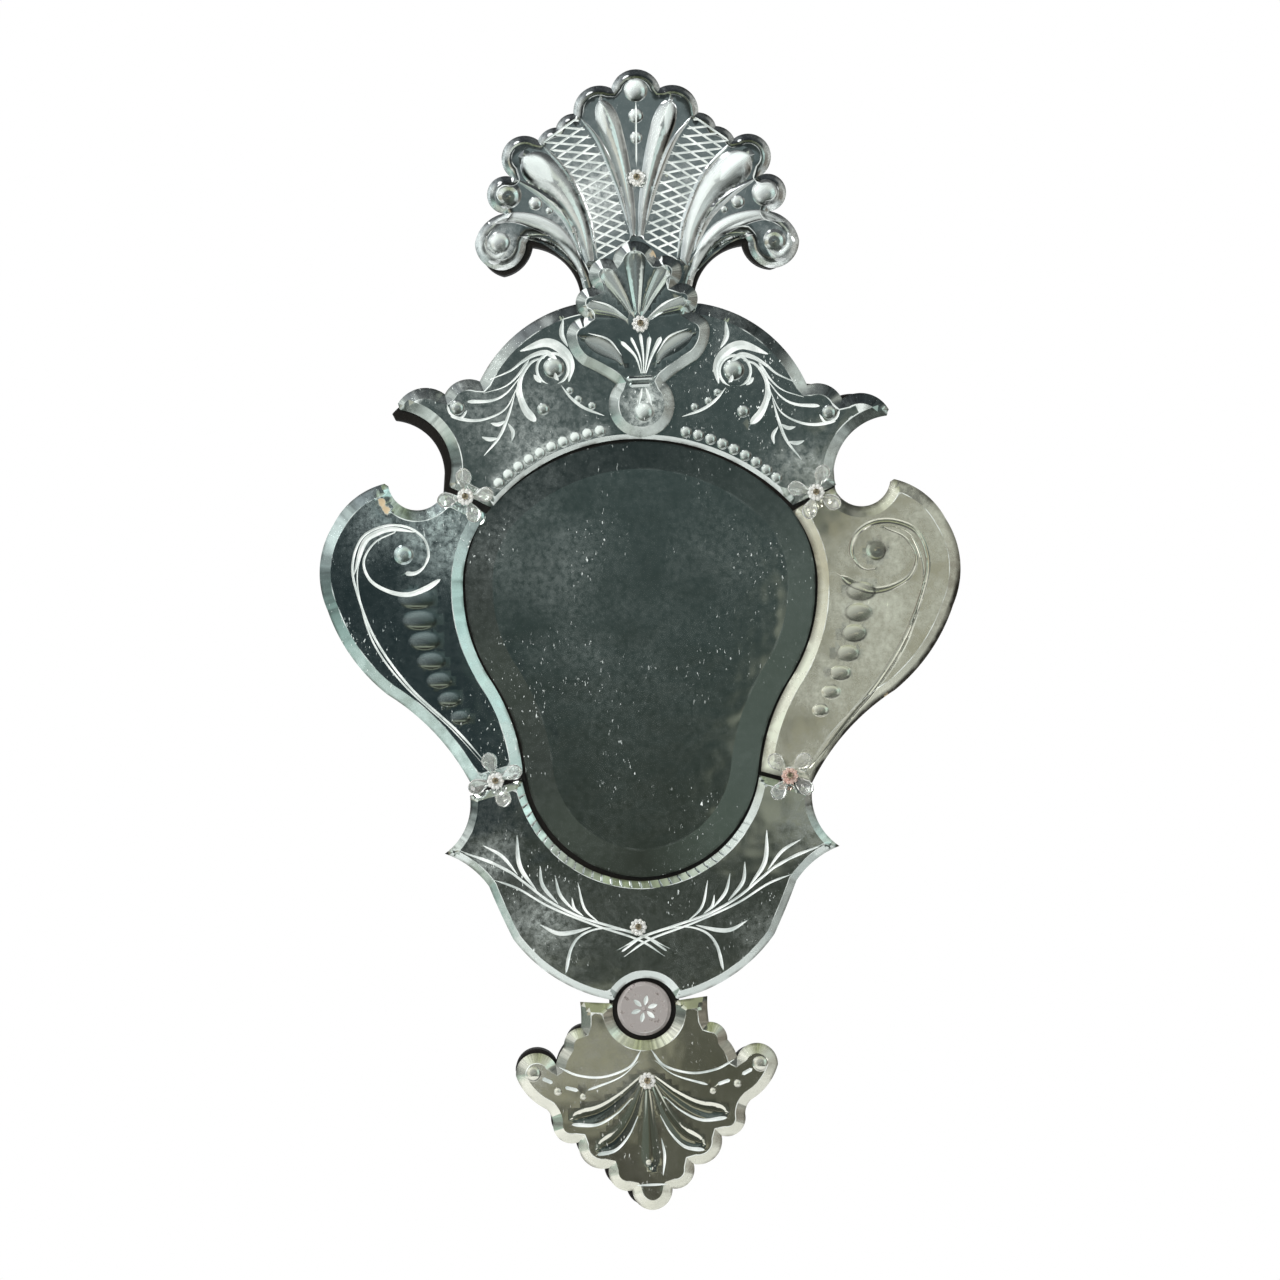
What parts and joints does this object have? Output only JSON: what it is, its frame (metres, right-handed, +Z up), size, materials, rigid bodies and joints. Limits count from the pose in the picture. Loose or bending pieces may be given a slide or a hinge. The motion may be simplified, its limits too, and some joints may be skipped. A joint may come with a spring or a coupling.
{
  "type": "wall mirror",
  "caption": "Engraved Venetian-style wall mirror: pear-shaped glass in scrolled mirror panels with a plumed crown, crest shield and shell pendant on a shaped wooden board.",
  "frame": {"origin": "on the flat back of the backing board, on the middle axis, 0.265 m below the top of the crown", "axes": "+Z up, +Y into the wall, so the mirror faces -Y; +X to the viewer's right"},
  "size_m": [0.5128, 0.0342, 0.9135],
  "materials": {
    "mirror_glass": "aged silvering with haze and specks, polished bevels, frosted engraving",
    "clear_glass": "clear pressed glass",
    "black_wood": "black stain, matt",
    "pin_metal": "dull, tarnished"
  },
  "bodies": {
    "root": {"backing_board": "black_wood", "centre_mirror": "mirror_glass", "top_panel": "mirror_glass", "left_side_panel": "mirror_glass", "right_side_panel": "mirror_glass", "apron_panel": "mirror_glass", "crown_plume": "mirror_glass", "crest_shield": "mirror_glass", "pendant_shell": "mirror_glass", "round_medallion": "mirror_glass", "flower_upper_left": "clear_glass", "flower_bead_upper_left": "clear_glass", "flower_pin_upper_left": "pin_metal", "flower_upper_right": "clear_glass", "flower_bead_upper_right": "clear_glass", "flower_pin_upper_right": "pin_metal", "flower_lower_left": "clear_glass", "flower_bead_lower_left": "clear_glass", "flower_pin_lower_left": "pin_metal", "flower_lower_right": "clear_glass", "flower_bead_lower_right": "clear_glass", "flower_pin_lower_right": "pin_metal", "rosette_crown": "clear_glass", "rosette_pin_crown": "pin_metal", "rosette_shield": "clear_glass", "rosette_pin_shield": "pin_metal", "rosette_apron": "clear_glass", "rosette_pin_apron": "pin_metal", "rosette_pendant": "clear_glass", "rosette_pin_pendant": "pin_metal"}
  },
  "joints": []
}
